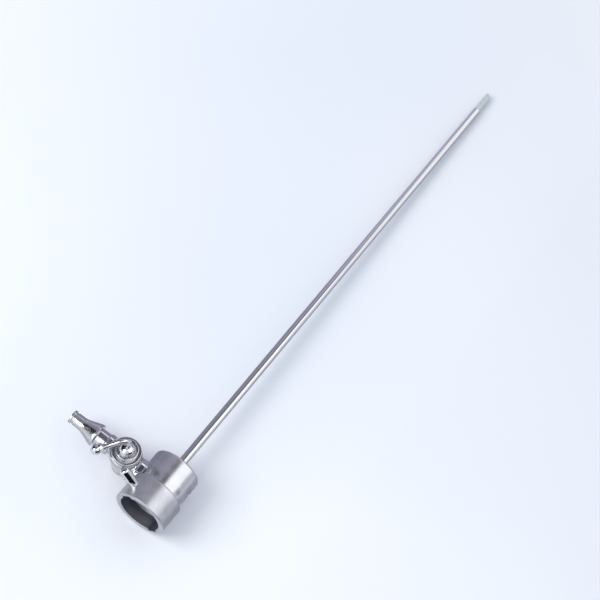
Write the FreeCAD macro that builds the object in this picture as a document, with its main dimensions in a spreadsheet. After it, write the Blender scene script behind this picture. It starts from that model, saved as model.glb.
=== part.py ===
import FreeCAD, Part
import math
import os
import Sketcher

# Slim endoscope sheath with a hub, a guide pin and a side stopcock. Millimetres.
# The origin is the centre of the hub's rear mouth. +X runs along the sheath to its tip,
# +Y along the stopcock to the hose nozzle, +Z along the plug to its lever.

doc = FreeCAD.newDocument("sheath")
sheet = doc.addObject("Spreadsheet::Sheet", "Sizes")

# Driving sizes
SIZES = {
    # Hub: rear collar, front body, cone seat and the ferrule that holds the tube
    "mouth_radius": 9.0,
    "collar_wall": 2.2,
    "collar_length": 11.4,
    "collar_edge": 0.35,
    "slot_width": 4.8,
    "slot_length": 6.0,
    "slot_turn": 38.0,
    "lock_groove_depth": 0.8,
    "lock_groove_width": 1.8,
    "spigot_length": 3.2,
    "hub_step": 1.0,
    "bore_step": 0.5,
    "hub_length": 24.6,
    "hub_front_wall": 3.0,
    "hub_edge": 0.9,
    "step_groove_width": 3.6,
    "step_groove_depth": 0.4,
    "step_groove_edge": 0.35,
    "seat_length": 4.7,
    "seat_step": 0.4,
    "seat_lip": 0.6,
    "seat_collar_length": 1.6,
    "ferrule_radius": 3.2,
    "ferrule_nose_radius": 2.5,
    "ferrule_reach": 2.2,
    # Tube and oblique beak
    "sheath_length": 274.0,
    "tube_radius": 1.85,
    "tube_root_radius": 2.1,
    "lumen_radius": 1.5,
    "beak_length": 7.0,
    "beak_radius": 1.68,
    "beak_bore_radius": 1.3,
    "beak_socket_length": 2.5,
    "beak_slant_length": 4.6,
    "beak_nose_height": 0.7,
    # Guide pin on the collar
    "pin_radius": 2.1,
    "pin_height": 8.4,
    "pin_place": 5.4,
    "pin_turn": 42.0,
    "pin_seat_depth": 0.8,
    "pin_foot_radius": 2.6,
    "pin_foot_height": 0.2,
    "pin_edge": 0.6,
    # Small screw in the side of the hub
    "screw_radius": 1.6,
    "screw_recess": 0.35,
    "screw_depth": 0.9,
    "screw_gap": 6.6,
    "screw_turn": 168.0,
    "screw_slot_width": 0.4,
    "screw_slot_depth": 0.4,
    # Stopcock body: a barrel with one arm to the hub and one to the nozzle
    "stopcock_gap": 3.3,
    "barrel_gap": 8.6,
    "barrel_radius": 6.5,
    "barrel_top": 6.0,
    "barrel_shoulder": 4.2,
    "barrel_bottom": 7.0,
    "barrel_cone_top": 2.6,
    "barrel_foot_radius": 4.4,
    "flange_radius": 6.0,
    "flange_edge": 0.35,
    "hub_arm_radius": 4.2,
    "hub_arm_spigot_radius": 2.3,
    "flow_radius": 1.4,
    "stem_ring_radius": 5.4,
    "stem_ring_shift": 1.3,
    "stem_ring_height": 1.9,
    "stem_ring_edge": 0.5,
    "nozzle_arm_radius": 3.0,
    "nozzle_arm_end": 7.6,
    # Nozzle, its nut and its seal, from the plug's axis
    "nut_radius": 4.2,
    "nut_start": 6.6,
    "nut_end": 9.0,
    "nut_lip": 0.7,
    "seal_thickness": 0.4,
    "nozzle_neck_radius": 3.3,
    "nozzle_neck_groove_radius": 3.0,
    "nozzle_foot_radius": 3.7,
    "flare_radius": 4.9,
    "flare_start": 13.3,
    "flare_rim": 0.9,
    "cone_end": 20.4,
    "nozzle_tip_radius": 2.85,
    "nozzle_waist_radius": 2.7,
    "nozzle_lip_length": 0.9,
    "nozzle_end": 26.2,
    "nozzle_bore_radius": 2.2,
    # Plug and its head
    "plug_clearance": 0.03,
    "plug_top_radius": 3.3,
    "plug_bottom_radius": 2.7,
    "shank_radius": 1.6,
    "head_gap": 0.1,
    "cap_radius": 4.55,
    "cap_height": 1.7,
    "cap_edge": 0.3,
    "cap_groove_radius": 3.75,
    "cap_groove_width": 0.3,
    "cap_groove_depth": 0.35,
    "boss_radius": 3.35,
    "boss_height": 2.5,
    # Lever: bent rod with a turned grip and a ball
    "lever_turn": 50.0,
    "lever_radius": 0.95,
    "lever_top": 17.3,
    "lever_bend_radius": 3.2,
    "lever_fall": 33.0,
    "lever_sweep_radius": 35.0,
    "grip_fall": 24.0,
    "grip_radius": 2.0,
    "grip_length": 3.3,
    "grip_neck_radius": 1.6,
    "grip_neck_place": 3.7,
    "ball_radius": 2.1,
    "ball_place": 5.3,
    # Spring pack under the barrel
    "washer_radius": 4.0,
    "washer_thickness": 0.5,
    "spring_radius": 3.6,
    "spring_thickness": 0.35,
    "spring_dish": 0.5,
    "nut_cap_radius": 3.9,
    "nut_cap_height": 2.05,
    "nut_cap_edge": 0.6,
}

# Sizes that follow from the driving ones
SIZES |= {
    "collar_radius": "=mouth_radius + collar_wall",
    "lock_groove_radius": "=mouth_radius + lock_groove_depth",
    "hub_radius": "=collar_radius - hub_step",
    "hub_bore_radius": "=mouth_radius - bore_step",
    "seat_radius": "=hub_bore_radius - seat_step",
    "seat_mouth_radius": "=seat_radius - seat_lip",
    "screw_place": "=collar_length + screw_gap",
    "stopcock_place": "=collar_length + stopcock_gap",
    "barrel_distance": "=hub_radius + barrel_gap",
}

row = 0
for size_name, size_value in SIZES.items():
    row += 1
    sheet.set(f"A{row}", size_name)
    sheet.set(f"B{row}", str(size_value))
    sheet.setAlias(f"B{row}", size_name)
doc.recompute()


def bound(text):
    """Turn a formula of size names into one that reads the sheet."""
    words = sorted(SIZES, key=len, reverse=True)
    marked = str(text)
    for number, word in enumerate(words):
        marked = marked.replace(word, f"@{number}@")
    for number, word in enumerate(words):
        marked = marked.replace(f"@{number}@", f"Sizes.{word}")
    return marked


def number(text):
    """Work out the present value of such a formula."""
    found = sheet.evalExpression(bound(text))
    return float(getattr(found, "Value", found))


def body_called(label, at=(0, 0, 0), turns=(("z", 0),)):
    """Start a sub-part, placed by formulas and turned about its own axes in order."""
    body = doc.addObject("PartDesign::Body", label)
    body.Label = label
    axes = {"x": "vector(1; 0; 0)", "y": "vector(0; 1; 0)", "z": "vector(0; 0; 1)"}
    spin = " * ".join(f"rotation({axes[axis]}; {bound(angle)})" for axis, angle in turns)
    base = "; ".join(bound(place) for place in at)
    body.setExpression("Placement", f"placement(vector({base}); {spin})")
    return body


def flat_sketch(body, name, role):
    """Lay a sketch on one of the body's own origin planes."""
    sketch = body.newObject("Sketcher::SketchObject", name)
    plane = [part for part in body.Origin.OriginFeatures if part.Role == role][0]
    sketch.AttachmentSupport = [(plane, "")]
    sketch.MapMode = "FlatFace"
    return sketch


def arc_between(start, end, radius, side):
    """Arc from start to end; side 1 turns left, side -1 turns right."""
    chord = end - start
    middle = (start + end) * 0.5
    left = FreeCAD.Vector(-chord.y, chord.x, 0).normalize()
    reach = math.sqrt(max(radius ** 2 - (chord.Length / 2) ** 2, 0.0))
    centre = middle + left * reach * side
    first, last = (start, end) if side > 0 else (end, start)
    angles = [math.atan2(p.y - centre.y, p.x - centre.x) for p in (first, last)]
    circle = Part.Circle(centre, FreeCAD.Vector(0, 0, 1), radius)
    return Part.ArcOfCircle(circle, angles[0], angles[1])


def draw(sketch, corners, closed=True):
    """Draw a path through corners (across, up), or (across, up, arc radius, side)."""
    points = [FreeCAD.Vector(number(c[0]), number(c[1]), 0) for c in corners]
    count = len(corners) if closed else len(corners) - 1
    ends = []
    for index in range(count):
        start = points[index]
        end = points[(index + 1) % len(points)]
        if len(corners[index]) == 2:
            sketch.addGeometry(Part.LineSegment(start, end), False)
            ends.append((1, 2))
            continue
        radius, side = corners[index][2:]
        sketch.addGeometry(arc_between(start, end, number(radius), side), False)
        ends.append((1, 2) if side > 0 else (2, 1))
        bend = sketch.addConstraint(Sketcher.Constraint("Radius", index, number(radius)))
        sketch.setExpression(f"Constraints[{bend}]", bound(radius))
    for index in range(count if closed else count - 1):
        after = (index + 1) % count
        sketch.addConstraint(
            Sketcher.Constraint("Coincident", index, ends[index][1], after, ends[after][0])
        )
    for index in range(len(corners)):
        edge, point = (index, ends[index][0]) if index < count else (count - 1, ends[-1][1])
        for kind, place in zip(("DistanceX", "DistanceY"), corners[index][:2]):
            rule = Sketcher.Constraint(kind, -1, 1, edge, point, number(place))
            size = sketch.addConstraint(rule)
            sketch.setExpression(f"Constraints[{size}]", bound(place))


def turn_profile(body, name, along, corners):
    """Revolve an outline of (along the axis, radius) corners about local X, Y or Z."""
    role = "XZ_Plane" if along == "z" else "XY_Plane"
    sketch = flat_sketch(body, name + "Outline", role)
    if along != "x":
        corners = [(c[1], c[0]) + ((c[2], -c[3]) if len(c) > 2 else ()) for c in corners]
    draw(sketch, corners)
    solid = body.newObject("PartDesign::Revolution", name)
    solid.Profile = sketch
    solid.ReferenceAxis = (sketch, ["H_Axis" if along == "x" else "V_Axis"])
    solid.Angle = 360
    doc.recompute()
    return solid


def turned(label, along, corners, **place):
    """Make a sub-part that is one turned solid."""
    body = body_called(label, **place)
    turn_profile(body, "Turned", along, corners)
    return body


def ring_edges(body, rings, along):
    """Names of the circular edges at (place along the axis, radius)."""
    axis = "xyz".index(along)
    names = []
    solid = body.Tip.Shape
    for place, radius in rings:
        for index, edge in enumerate(solid.Edges):
            if edge.Curve.TypeId != "Part::GeomCircle":
                continue
            offset = edge.Curve.Center[axis] - number(place)
            if abs(offset) < 1e-6 and abs(edge.Curve.Radius - number(radius)) < 1e-6:
                names.append(f"Edge{index + 1}")
    return names


def soften(body, kind, size, rings, along):
    """Fillet or chamfer the circular edges named by place and radius."""
    doc.recompute()
    names = ring_edges(body, rings, along)
    if not names:
        raise RuntimeError(f"{body.Label}: no edge found for {size}")
    base = body.Tip
    edge = body.newObject("PartDesign::" + kind, kind + size.title().replace("_", ""))
    edge.Base = (base, names)
    edge.setExpression("Radius" if kind == "Fillet" else "Size", bound(size))
    doc.recompute()


def place_tool(tool, at, direction):
    """Bind a cutting or adding solid's place, with its own Z along a direction."""
    spin = FreeCAD.Rotation(FreeCAD.Vector(0, 0, 1), FreeCAD.Vector(*direction))
    tool.Placement = FreeCAD.Placement(FreeCAD.Vector(0, 0, 0), spin)
    for axis, place in zip("xyz", at):
        tool.setExpression(f"Placement.Base.{axis}", bound(place))


def checked_cut(body, before):
    doc.recompute()
    if body.Tip.Shape.Volume > before - 1e-6:
        raise RuntimeError(f"{body.Label}: {body.Tip.Label} cuts nothing")


def drill(body, name, radius, length, at, direction):
    """Cut a round hole from a point along a direction."""
    before = body.Tip.Shape.Volume
    hole = body.newObject("PartDesign::SubtractiveCylinder", name)
    hole.setExpression("Radius", bound(radius))
    hole.setExpression("Height", bound(length))
    place_tool(hole, at, direction)
    checked_cut(body, before)


def cut_box(body, name, lengths, at, direction=(0, 0, 1)):
    """Cut a box that starts at a corner and stands along a direction."""
    before = body.Tip.Shape.Volume
    box = body.newObject("PartDesign::SubtractiveBox", name)
    for side, length in zip(("Length", "Width", "Height"), lengths):
        box.setExpression(side, bound(length))
    place_tool(box, at, direction)
    checked_cut(body, before)


# Places that several pieces share
SPIGOT_START = "(collar_length - spigot_length)"
SEAT_END = "(hub_length - hub_front_wall)"
SEAT_START = f"({SEAT_END} - seat_length)"
TUBE_START = f"({SEAT_END} - seat_collar_length)"
TUBE_END = "(sheath_length - beak_length)"
SOCKET_START = f"({TUBE_END} - beak_socket_length)"
STOPCOCK = ("stopcock_place", 0, 0)
PLUG_AXIS = ("stopcock_place", "barrel_distance", 0)
HEAD_START = "(barrel_top + head_gap)"
BOSS_START = f"({HEAD_START} + cap_height)"
WASHER_TOP = "(-barrel_bottom - head_gap)"
SPRING_TOP = f"({WASHER_TOP} - washer_thickness)"
NUT_TOP = f"({SPRING_TOP} - spring_dish - spring_thickness)"

# The lever rises, bends over past the level, then eases back to the slope of its grip
BEND_HEIGHT = "(lever_top - lever_bend_radius)"
BEND_END = (
    "(lever_bend_radius * (1 + sin(lever_fall * 1deg)))",
    f"({BEND_HEIGHT} + lever_bend_radius * cos(lever_fall * 1deg))",
)
SWEEP_CHORD = "(2 * lever_sweep_radius * sin((lever_fall - grip_fall) / 2 * 1deg))"
ARM_END = (
    f"({BEND_END[0]} + {SWEEP_CHORD} * cos((lever_fall + grip_fall) / 2 * 1deg))",
    f"({BEND_END[1]} - {SWEEP_CHORD} * sin((lever_fall + grip_fall) / 2 * 1deg))",
)


def bayonet_collar():
    groove_start = "slot_length - lock_groove_width"
    body = turned("bayonet_collar", "x", [
        (0, "mouth_radius"),
        (0, "collar_radius"),
        ("collar_length", "collar_radius"),
        ("collar_length", "hub_radius"),
        (SPIGOT_START, "hub_radius"),
        (SPIGOT_START, "mouth_radius"),
        ("slot_length", "mouth_radius"),
        ("slot_length", "lock_groove_radius"),
        (groove_start, "lock_groove_radius"),
        (groove_start, "mouth_radius"),
    ])
    rims = [(0, "collar_radius"), ("collar_length", "collar_radius")]
    soften(body, "Chamfer", "collar_edge", rims, "x")
    turn = math.radians(number("slot_turn"))
    across = "lock_groove_radius * {} {} slot_width / 2 * {}"
    cosine, sine = "cos(slot_turn * 1deg)", "sin(slot_turn * 1deg)"
    cut_box(
        body, "BayonetSlots",
        ("slot_length + 1", "2 * lock_groove_radius", "slot_width"),
        (-1, "-" + across.format(cosine, "+", sine), "-" + across.format(sine, "-", cosine)),
        (0, -math.sin(turn), math.cos(turn)),
    )
    turn = math.radians(number("pin_turn"))
    seat = "(collar_radius - pin_seat_depth)"
    drill(
        body, "PinSeat", "pin_foot_radius", "2 * pin_seat_depth + pin_foot_radius",
        ("pin_place", f"{seat} * cos(pin_turn * 1deg)", f"{seat} * sin(pin_turn * 1deg)"),
        (0, math.cos(turn), math.sin(turn)),
    )
    return body


def hub_body():
    groove_end = "collar_length + step_groove_width"
    groove_floor = "hub_radius - step_groove_depth"
    body = turned("hub_body", "x", [
        (SPIGOT_START, "hub_bore_radius"),
        (SPIGOT_START, "hub_radius"),
        ("collar_length", "hub_radius"),
        ("collar_length", groove_floor),
        (groove_end, groove_floor),
        (groove_end, "hub_radius"),
        ("hub_length", "hub_radius"),
        ("hub_length", "ferrule_radius"),
        (SEAT_END, "ferrule_radius"),
        (SEAT_END, "seat_radius"),
        (SEAT_START, "seat_radius"),
        (SEAT_START, "hub_bore_radius"),
    ])
    soften(body, "Chamfer", "hub_edge", [("hub_length", "hub_radius")], "x")
    soften(body, "Chamfer", "step_groove_edge", [(groove_end, "hub_radius")], "x")
    drill(
        body, "StemSeat", "hub_arm_spigot_radius", "hub_radius",
        ("stopcock_place", "hub_bore_radius / 2", 0), (0, 1, 0),
    )
    turn = math.radians(number("screw_turn"))
    seat = "(hub_radius - screw_recess - screw_depth)"
    drill(
        body, "ScrewSeat", "screw_radius", "hub_radius",
        ("screw_place", f"{seat} * cos(screw_turn * 1deg)", f"{seat} * sin(screw_turn * 1deg)"),
        (0, math.cos(turn), math.sin(turn)),
    )
    return body


def cone_seat():
    return turned("cone_seat", "x", [
        (SEAT_START, "seat_mouth_radius"),
        (SEAT_START, "seat_radius"),
        (SEAT_END, "seat_radius"),
        (SEAT_END, "tube_root_radius"),
        (TUBE_START, "tube_root_radius"),
        (TUBE_START, "lumen_radius"),
    ])


def tube_ferrule():
    nose_start = "hub_length + ferrule_reach / 2"
    return turned("tube_ferrule", "x", [
        (SEAT_END, "tube_root_radius"),
        (SEAT_END, "ferrule_radius"),
        (nose_start, "ferrule_radius"),
        ("hub_length + ferrule_reach", "ferrule_nose_radius"),
        ("hub_length + ferrule_reach", "tube_root_radius"),
    ])


def sheath_tube():
    root_end = "hub_length + ferrule_reach"
    return turned("sheath_tube", "x", [
        (TUBE_START, "lumen_radius"),
        (TUBE_START, "tube_root_radius"),
        (root_end, "tube_root_radius"),
        (root_end, "tube_radius"),
        (TUBE_END, "tube_radius"),
        (TUBE_END, "beak_radius"),
        (SOCKET_START, "beak_radius"),
        (SOCKET_START, "lumen_radius"),
    ])


def insulating_beak():
    body = turned("insulating_beak", "x", [
        (SOCKET_START, "beak_bore_radius"),
        (SOCKET_START, "beak_radius"),
        ("sheath_length", "beak_radius"),
        ("sheath_length", "beak_bore_radius"),
    ])
    before = body.Tip.Shape.Volume
    sketch = flat_sketch(body, "SlantOutline", "XY_Plane")
    draw(sketch, [
        ("sheath_length - beak_slant_length", "-beak_radius"),
        ("sheath_length - beak_slant_length", "-2 * beak_radius"),
        ("sheath_length + 1", "-2 * beak_radius"),
        ("sheath_length + 1", "beak_nose_height"),
        ("sheath_length", "beak_nose_height"),
    ])
    slant = body.newObject("PartDesign::Pocket", "Slant")
    slant.Profile = sketch
    slant.Type = "Length"
    slant.Midplane = True
    slant.setExpression("Length", bound("4 * beak_radius"))
    checked_cut(body, before)
    return body


def guide_pin():
    top = "collar_radius + pin_height"
    foot_top = "collar_radius + pin_foot_height"
    body = turned("guide_pin", "y", [
        ("collar_radius - pin_seat_depth", 0),
        ("collar_radius - pin_seat_depth", "pin_foot_radius"),
        (foot_top, "pin_foot_radius"),
        (foot_top, "pin_radius"),
        (top, "pin_radius"),
        (top, 0),
    ], at=("pin_place", 0, 0), turns=[("x", "pin_turn")])
    soften(body, "Chamfer", "pin_edge", [(top, "pin_radius")], "y")
    return body


def hub_screw():
    top = "hub_radius - screw_recess"
    body = turned("hub_screw", "y", [
        (f"{top} - screw_depth", 0),
        (f"{top} - screw_depth", "screw_radius"),
        (top, "screw_radius"),
        (top, 0),
    ], at=("screw_place", 0, 0), turns=[("x", "screw_turn")])
    cut_box(
        body, "DriverSlot",
        ("3 * screw_radius", "2 * screw_slot_depth", "screw_slot_width"),
        ("-1.5 * screw_radius", f"{top} - screw_slot_depth", "-screw_slot_width / 2"),
    )
    return body


def stem_ring():
    top = "hub_radius + stem_ring_height"
    body = turned("stem_ring", "y", [
        ("hub_bore_radius", 0),
        ("hub_bore_radius", "stem_ring_radius"),
        (top, "stem_ring_radius"),
        (top, 0),
    ], at=("stopcock_place - stem_ring_shift", 0, 0))
    soften(body, "Chamfer", "stem_ring_edge", [(top, "stem_ring_radius")], "y")
    drill(
        body, "SpigotHole", "hub_arm_spigot_radius", "hub_radius + stem_ring_height",
        ("stem_ring_shift", "hub_bore_radius / 2", 0), (0, 1, 0),
    )
    drill(
        body, "HubSaddle", "hub_radius", "4 * stem_ring_radius",
        ("-2 * stem_ring_radius", 0, 0), (1, 0, 0),
    )
    drill(
        body, "CollarSaddle", "collar_radius", "2 * stem_ring_radius",
        ("stem_ring_shift - stopcock_gap - 2 * stem_ring_radius", 0, 0), (1, 0, 0),
    )
    return body


def stopcock_body():
    body = body_called("stopcock_body", at=PLUG_AXIS)
    turn_profile(body, "Barrel", "z", [
        ("-barrel_bottom", 0),
        ("-barrel_bottom", "barrel_foot_radius"),
        ("barrel_cone_top", "barrel_radius"),
        ("barrel_shoulder", "barrel_radius"),
        ("barrel_shoulder", "flange_radius"),
        ("barrel_top", "flange_radius"),
        ("barrel_top", 0),
    ])
    soften(body, "Chamfer", "flange_edge", [
        ("barrel_top", "flange_radius"), ("barrel_shoulder", "barrel_radius"),
    ], "z")
    ring_top = "hub_radius + stem_ring_height - barrel_distance"
    turn_profile(body, "HubArm", "y", [
        ("hub_bore_radius - barrel_distance", 0),
        ("hub_bore_radius - barrel_distance", "hub_arm_spigot_radius"),
        (ring_top, "hub_arm_spigot_radius"),
        (ring_top, "hub_arm_radius"),
        ("-plug_top_radius", "hub_arm_radius"),
        ("-plug_top_radius", 0),
    ])
    turn_profile(body, "NozzleArm", "y", [
        ("plug_top_radius", 0),
        ("plug_top_radius", "nozzle_arm_radius"),
        ("nozzle_arm_end", "nozzle_arm_radius"),
        ("nozzle_arm_end", 0),
    ])
    before = body.Tip.Shape.Volume
    sketch = flat_sketch(body, "PlugBoreOutline", "XZ_Plane")
    draw(sketch, [
        (0, "-barrel_bottom"),
        ("plug_bottom_radius", "-barrel_bottom"),
        ("plug_top_radius", "barrel_top"),
        (0, "barrel_top"),
    ])
    bore = body.newObject("PartDesign::Groove", "PlugBore")
    bore.Profile = sketch
    bore.ReferenceAxis = (sketch, ["V_Axis"])
    bore.Angle = 360
    checked_cut(body, before)
    drill(
        body, "FlowBore", "flow_radius", "barrel_distance + nozzle_arm_end",
        (0, "-barrel_distance", 0), (0, 1, 0),
    )
    return body


def nozzle_nut():
    lip_start = "nut_end - nut_lip"
    return turned("nozzle_nut", "y", [
        ("nut_start", "nozzle_arm_radius"),
        ("nut_start", "nut_radius"),
        ("nut_end", "nut_radius"),
        ("nut_end", "nozzle_neck_radius"),
        (lip_start, "nozzle_neck_radius"),
        (lip_start, "nozzle_foot_radius"),
        ("nozzle_arm_end", "nozzle_foot_radius"),
        ("nozzle_arm_end", "nozzle_arm_radius"),
    ], at=PLUG_AXIS)


def nozzle_seal():
    return turned("nozzle_seal", "y", [
        ("nozzle_arm_end", "flow_radius"),
        ("nozzle_arm_end", "nozzle_foot_radius"),
        ("nozzle_arm_end + seal_thickness", "nozzle_foot_radius"),
        ("nozzle_arm_end + seal_thickness", "flow_radius"),
    ], at=PLUG_AXIS)


def hose_nozzle():
    foot_start = "nozzle_arm_end + seal_thickness"
    foot_end = "nut_end - nut_lip"
    lip_start = "nozzle_end - nozzle_lip_length"
    return turned("hose_nozzle", "y", [
        (foot_start, "flow_radius"),
        (foot_start, "nozzle_foot_radius"),
        (foot_end, "nozzle_foot_radius"),
        (foot_end, "nozzle_neck_radius"),
        ("flare_start - flare_rim", "nozzle_neck_radius"),
        ("flare_start", "nozzle_neck_groove_radius"),
        ("flare_start", "flare_radius"),
        ("flare_start + flare_rim", "flare_radius"),
        ("cone_end", "nozzle_waist_radius"),
        (lip_start, "nozzle_waist_radius"),
        ("nozzle_end", "nozzle_tip_radius"),
        ("nozzle_end", "nozzle_bore_radius"),
        ("cone_end", "nozzle_bore_radius"),
        ("flare_start", "flow_radius"),
    ], at=PLUG_AXIS)


def tapered_plug():
    slope = "((plug_top_radius - plug_bottom_radius) / (barrel_top + barrel_bottom))"
    body = turned("tapered_plug", "z", [
        (f"{NUT_TOP} - nut_cap_height / 2", 0),
        (f"{NUT_TOP} - nut_cap_height / 2", "shank_radius"),
        ("-barrel_bottom", "shank_radius"),
        ("-barrel_bottom", "plug_bottom_radius - plug_clearance"),
        (HEAD_START, f"plug_top_radius + {slope} * head_gap - plug_clearance"),
        (HEAD_START, 0),
    ], at=PLUG_AXIS, turns=[("z", "lever_turn")])
    drill(
        body, "CrossBore", "flow_radius", "4 * plug_top_radius",
        (0, "-2 * plug_top_radius", 0), (0, 1, 0),
    )
    return body


def plug_cap():
    groove_outer = "cap_groove_radius + cap_groove_width"
    body = turned("plug_cap", "z", [
        (HEAD_START, 0),
        (HEAD_START, "cap_radius"),
        (BOSS_START, "cap_radius"),
        (BOSS_START, groove_outer),
        (f"{BOSS_START} - cap_groove_depth", groove_outer),
        (f"{BOSS_START} - cap_groove_depth", "cap_groove_radius"),
        (BOSS_START, "cap_groove_radius"),
        (BOSS_START, 0),
    ], at=PLUG_AXIS)
    soften(body, "Chamfer", "cap_edge", [(BOSS_START, "cap_radius")], "z")
    return body


def lever_boss():
    dome_radius = "((boss_radius^2 + boss_height^2) / (2 * boss_height))"
    return turned("lever_boss", "z", [
        (BOSS_START, "lever_radius"),
        (BOSS_START, "boss_radius", dome_radius, 1),
        (f"{BOSS_START} + boss_height - {dome_radius} + sqrt({dome_radius}^2 - lever_radius^2)",
         "lever_radius"),
    ], at=PLUG_AXIS)


def lever_arm():
    body = body_called("lever_arm", at=PLUG_AXIS, turns=[("z", "90 + lever_turn")])
    path = flat_sketch(body, "LeverPath", "XZ_Plane")
    draw(path, [
        (0, BOSS_START),
        (0, BEND_HEIGHT, "lever_bend_radius", -1),
        (BEND_END[0], BEND_END[1], "lever_sweep_radius", 1),
        (ARM_END[0], ARM_END[1]),
    ], closed=False)
    section = flat_sketch(body, "LeverSection", "XY_Plane")
    section.setExpression("AttachmentOffset.Base.z", bound(BOSS_START))
    ring = Part.Circle(FreeCAD.Vector(0, 0, 0), FreeCAD.Vector(0, 0, 1), number("lever_radius"))
    section.addGeometry(ring, False)
    section.addConstraint(Sketcher.Constraint("Coincident", 0, 3, -1, 1))
    size = section.addConstraint(Sketcher.Constraint("Radius", 0, number("lever_radius")))
    section.setExpression(f"Constraints[{size}]", bound("lever_radius"))
    doc.recompute()
    rod = body.newObject("PartDesign::AdditivePipe", "BentRod")
    rod.Profile = section
    rod.Spine = path
    doc.recompute()
    return body


def lever_knob():
    reach, height = ARM_END
    place = (
        f"stopcock_place - {reach} * sin(lever_turn * 1deg)",
        f"barrel_distance + {reach} * cos(lever_turn * 1deg)",
        height,
    )
    neck_end = "(ball_place - sqrt(ball_radius^2 - grip_neck_radius^2))"
    return turned("lever_knob", "x", [
        (0, 0),
        (0, "lever_radius"),
        ("grip_length", "grip_radius"),
        ("grip_neck_place", "grip_neck_radius"),
        (neck_end, "grip_neck_radius", "ball_radius", -1),
        ("ball_place + ball_radius", 0),
    ], at=place, turns=[("z", "90 + lever_turn"), ("y", "grip_fall")])


def thrust_washer():
    return turned("thrust_washer", "z", [
        (WASHER_TOP, "shank_radius"),
        (WASHER_TOP, "washer_radius"),
        (SPRING_TOP, "washer_radius"),
        (SPRING_TOP, "shank_radius"),
    ], at=PLUG_AXIS)


def plug_spring():
    return turned("plug_spring", "z", [
        (f"{SPRING_TOP} - spring_dish", "shank_radius"),
        (SPRING_TOP, "spring_radius"),
        (f"{SPRING_TOP} - spring_thickness", "spring_radius"),
        (NUT_TOP, "shank_radius"),
    ], at=PLUG_AXIS)


def retaining_nut():
    bottom = f"{NUT_TOP} - nut_cap_height"
    body = turned("retaining_nut", "z", [
        (NUT_TOP, "shank_radius"),
        (NUT_TOP, "nut_cap_radius"),
        (bottom, "nut_cap_radius"),
        (bottom, 0),
        (f"{NUT_TOP} - nut_cap_height / 2", 0),
        (f"{NUT_TOP} - nut_cap_height / 2", "shank_radius"),
    ], at=PLUG_AXIS)
    soften(body, "Chamfer", "nut_cap_edge", [(bottom, "nut_cap_radius")], "z")
    return body


parts = [
    bayonet_collar(),
    hub_body(),
    cone_seat(),
    tube_ferrule(),
    sheath_tube(),
    insulating_beak(),
    guide_pin(),
    hub_screw(),
    stem_ring(),
    stopcock_body(),
    nozzle_nut(),
    nozzle_seal(),
    hose_nozzle(),
    tapered_plug(),
    plug_cap(),
    lever_boss(),
    lever_arm(),
    lever_knob(),
    thrust_washer(),
    plug_spring(),
    retaining_nut(),
]
doc.recompute()

for item in doc.Objects:
    for state in ("Invalid", "Error"):
        if state in item.State:
            raise RuntimeError(f"{item.Label} is {state}")
for part in parts:
    if part.Shape.isNull() or not part.Shape.isValid():
        raise RuntimeError(f"{part.Label} has no valid shape")

os.makedirs("parts", exist_ok=True)
for part in parts:
    part.Shape.exportStep(f"parts/{part.Label}.step")
    print(f"{part.Label}: {len(part.Shape.Solids)} solid, {part.Shape.Volume:.1f} mm3")
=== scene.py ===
# %% [markdown]
# # A slim endoscope sheath, dressed for a studio photograph
# The object is a surgical tube: a thin steel sheath soldered into a round hub, with a guide pin
# and a small stopcock on the hub's side. It was already built as solids, and that imported model is
# loaded first as a frame. Everything below is made in the same place and size as the solids, in
# metres, so no piece needs fitting by eye.

# %% Load the imported model
import bmesh
import bpy
import math
from mathutils import Matrix, Vector


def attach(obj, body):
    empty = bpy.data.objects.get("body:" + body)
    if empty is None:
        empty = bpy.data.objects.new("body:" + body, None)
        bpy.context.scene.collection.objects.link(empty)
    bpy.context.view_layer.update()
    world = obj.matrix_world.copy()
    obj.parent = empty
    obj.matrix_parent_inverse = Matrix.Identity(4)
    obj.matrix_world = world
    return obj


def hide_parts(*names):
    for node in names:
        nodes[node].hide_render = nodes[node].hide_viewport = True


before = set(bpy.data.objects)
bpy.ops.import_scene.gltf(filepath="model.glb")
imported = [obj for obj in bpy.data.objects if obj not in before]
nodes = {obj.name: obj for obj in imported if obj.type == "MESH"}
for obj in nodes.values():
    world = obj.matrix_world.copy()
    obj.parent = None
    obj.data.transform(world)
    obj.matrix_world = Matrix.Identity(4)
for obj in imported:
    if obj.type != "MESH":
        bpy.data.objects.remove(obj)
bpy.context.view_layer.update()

# %% [markdown]
# ## Measures
# Sizes on a drawing of such a part are in millimetres, and Blender works in metres. One constant
# turns the first into the second. The sheath's axis is X, the stopcock runs out along Y, and the
# plug of the stopcock stands along Z.

# %% Measures that several pieces share
MM = 0.001
COLLAR_RADIUS = 11.2
COLLAR_LENGTH = 11.4
MOUTH_RADIUS = 9.0
HUB_RADIUS = 10.2
HUB_LENGTH = 24.6
HUB_BORE_RADIUS = 8.5
SHEATH_LENGTH = 274.0
TUBE_RADIUS = 1.85
STOPCOCK_PLACE = 14.7
BARREL_DISTANCE = 18.8
PLUG_AXIS = (STOPCOCK_PLACE, BARREL_DISTANCE, 0)
print("plug axis at", PLUG_AXIS, "mm")

# %% [markdown]
# ## Turning on a lathe
# Almost every piece of this instrument was turned on a lathe, so almost every mesh here is a
# profile spun about an axis. Blender has a Screw modifier for that, but a short function in mesh
# code lets a single ring follow a saddle or a slant later. Real edges are never knife sharp: a
# lathe hand breaks them with a file. A corner with a third number is therefore swapped for a small
# curve, and that curve catches the light as a thin bright line.

# %% Round the corners of a profile
CURVE_STEPS = 4


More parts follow.
